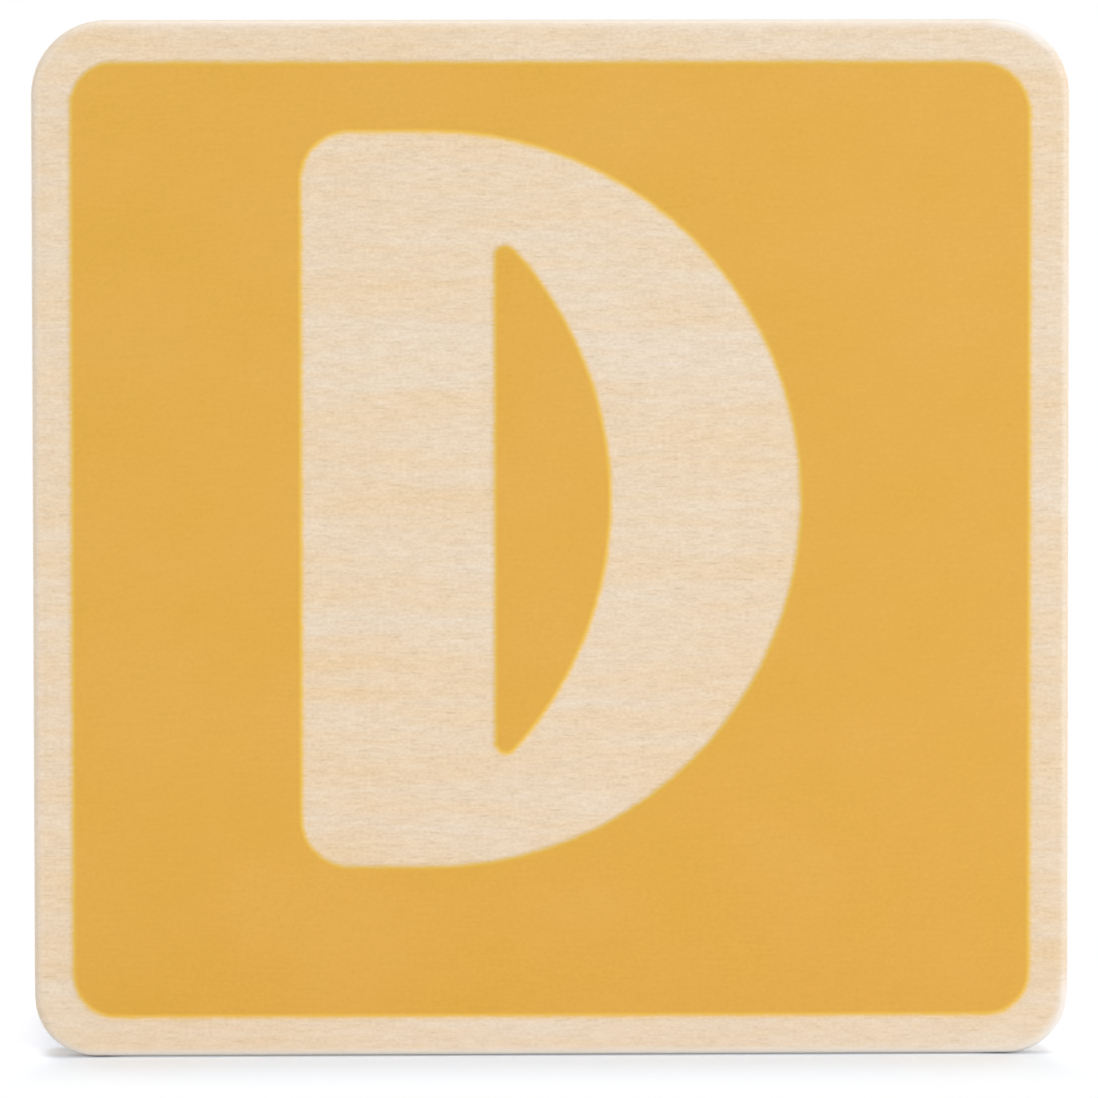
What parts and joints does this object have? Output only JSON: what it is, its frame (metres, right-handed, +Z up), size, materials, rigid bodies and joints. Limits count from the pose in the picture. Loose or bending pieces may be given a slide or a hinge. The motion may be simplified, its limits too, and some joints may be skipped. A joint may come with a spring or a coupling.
{
  "type": "letter train car",
  "caption": "Square wooden toy train car: printed letter panels on a solid block, wheels on hidden axles between the panels, and a ring magnet coupler at each end.",
  "frame": {"origin": "on the floor, under the middle of the car", "axes": "+X along the train to the right of someone reading the front letter, +Y from the front letter panel to the rear one, +Z up"},
  "size_m": [0.065, 0.0322, 0.0651],
  "materials": {
    "panel_wood": "fine sanded pale plywood, bare",
    "yellow_ink": "thin matt screen-printed ink",
    "block_wood": "sanded beech, bare",
    "dowel_wood": "plain beech dowel",
    "wheel_wood": "turned beech",
    "axle_steel": "drawn steel",
    "magnet_nickel": "nickel plated",
    "screw_steel": "zinc plated"
  },
  "bodies": {
    "car": {"front_panel": "panel_wood", "rear_panel": "panel_wood", "front_print": "yellow_ink", "rear_print": "yellow_ink", "body_block": "block_wood", "axle_bearer": "block_wood", "upper_left_dowel": "dowel_wood", "upper_right_dowel": "dowel_wood", "lower_left_dowel": "dowel_wood", "lower_right_dowel": "dowel_wood", "left_magnet": "magnet_nickel", "right_magnet": "magnet_nickel", "left_magnet_screw": "screw_steel", "right_magnet_screw": "screw_steel"},
    "left_wheelset": {"left_axle": "axle_steel", "left_front_wheel": "wheel_wood", "left_rear_wheel": "wheel_wood"},
    "right_wheelset": {"right_axle": "axle_steel", "right_front_wheel": "wheel_wood", "right_rear_wheel": "wheel_wood"}
  },
  "joints": [
    {"name": "left_wheelset_roll", "type": "hinge", "parent": "car", "child": "left_wheelset", "pos_m": [-0.018, 0, 0.01], "axis": [0, 1, 0], "continuous": true},
    {"name": "right_wheelset_roll", "type": "hinge", "parent": "car", "child": "right_wheelset", "pos_m": [0.018, 0, 0.01], "axis": [0, 1, 0], "continuous": true}
  ]
}
